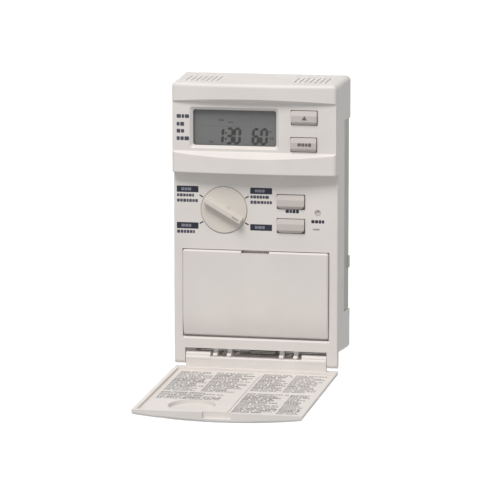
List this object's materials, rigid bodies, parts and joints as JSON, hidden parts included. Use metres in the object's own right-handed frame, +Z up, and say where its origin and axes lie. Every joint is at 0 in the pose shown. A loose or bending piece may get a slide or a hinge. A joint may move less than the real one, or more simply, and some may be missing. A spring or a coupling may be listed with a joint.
{
  "type": "wall thermostat",
  "caption": "Battery-powered programmable wall thermostat with a grey display, setting dial, push buttons, battery lid and a flip-down door.",
  "frame": {"origin": "centre of the wall plate's two screw holes, on the wall's surface", "axes": "+X to the right as seen from the room, +Y into the wall, +Z up; the front faces -Y"},
  "size_m": [0.0788, 0.1101, 0.1423],
  "materials": {
    "case_plastic": "fine moulded texture, warm off-white",
    "plate_plastic": "plain moulded",
    "control_plastic": "smooth moulded",
    "terminal_plastic": "moulded green",
    "shaft_plastic": "plain moulded",
    "black_plastic": "moulded black",
    "relay_plastic": "moulded blue",
    "capacitor_sleeve": "shrink sleeve",
    "cell_jacket": "printed jacket with bare steel ends",
    "epoxy_bead": "dipped",
    "strip_rubber": "striped silicone",
    "board_laminate": "green solder mask",
    "steel": "zinc plated",
    "brass_pins": "tin flashed",
    "clear_window": "polished clear plastic",
    "lcd_glass": "grey liquid-crystal cell",
    "reflector_sheet": "satin silver film"
  },
  "bodies": {
    "case": {"front_housing": "case_plastic", "wall_plate": "plate_plastic", "terminal_block": "terminal_plastic", "terminal_screws": "steel", "lcd_window": "clear_window", "lcd_panel": "lcd_glass", "lcd_reflector": "reflector_sheet", "lcd_holder": "black_plastic", "contact_strips": "strip_rubber", "main_board": "board_laminate", "board_screws": "steel", "header_pins": "brass_pins", "header_bar": "black_plastic", "relays": "relay_plastic", "microcontroller": "black_plastic", "crystal": "steel", "capacitors": "capacitor_sleeve", "thermistor": "epoxy_bead", "tact_switches": "black_plastic", "rotary_switch": "black_plastic", "battery_tray": "case_plastic", "battery_cells": "cell_jacket", "battery_springs": "steel", "battery_plates": "steel"},
    "door": {"door": "case_plastic"},
    "dial": {"dial_knob": "control_plastic", "dial_shaft": "shaft_plastic"},
    "cover": {"battery_cover": "case_plastic"},
    "up_key": {"up_button": "control_plastic"},
    "down_key": {"down_button": "control_plastic"},
    "hold_key": {"hold_button": "control_plastic"},
    "next_key": {"next_button": "control_plastic"},
    "reset_key": {"reset_button": "control_plastic"}
  },
  "joints": [
    {"name": "door_hinge", "type": "hinge", "parent": "case", "child": "door", "pos_m": [0, -0.0236, -0.0639], "axis": [-1, 0, 0], "range_deg": [0, 92.3]},
    {"name": "dial_turn", "type": "hinge", "parent": "case", "child": "dial", "pos_m": [-0.01475, -0.0256, 0.0058], "axis": [0, -1, 0], "range_deg": [0, 240]},
    {"name": "cover_pull", "type": "slide", "parent": "case", "child": "cover", "axis": [0, 1, 0], "range_m": [-0.03, 0]},
    {"name": "up_press", "type": "slide", "parent": "case", "child": "up_key", "axis": [0, 1, 0], "range_m": [0, 0.0006], "stiffness_N_per_m": 1200},
    {"name": "down_press", "type": "slide", "parent": "case", "child": "down_key", "axis": [0, 1, 0], "range_m": [0, 0.0006], "stiffness_N_per_m": 1200},
    {"name": "hold_press", "type": "slide", "parent": "case", "child": "hold_key", "axis": [0, 1, 0], "range_m": [0, 0.0006], "stiffness_N_per_m": 1200},
    {"name": "next_press", "type": "slide", "parent": "case", "child": "next_key", "axis": [0, 1, 0], "range_m": [0, 0.0006], "stiffness_N_per_m": 1200},
    {"name": "reset_press", "type": "slide", "parent": "case", "child": "reset_key", "axis": [0, 1, 0], "range_m": [0, 0.0006], "stiffness_N_per_m": 1200}
  ]
}
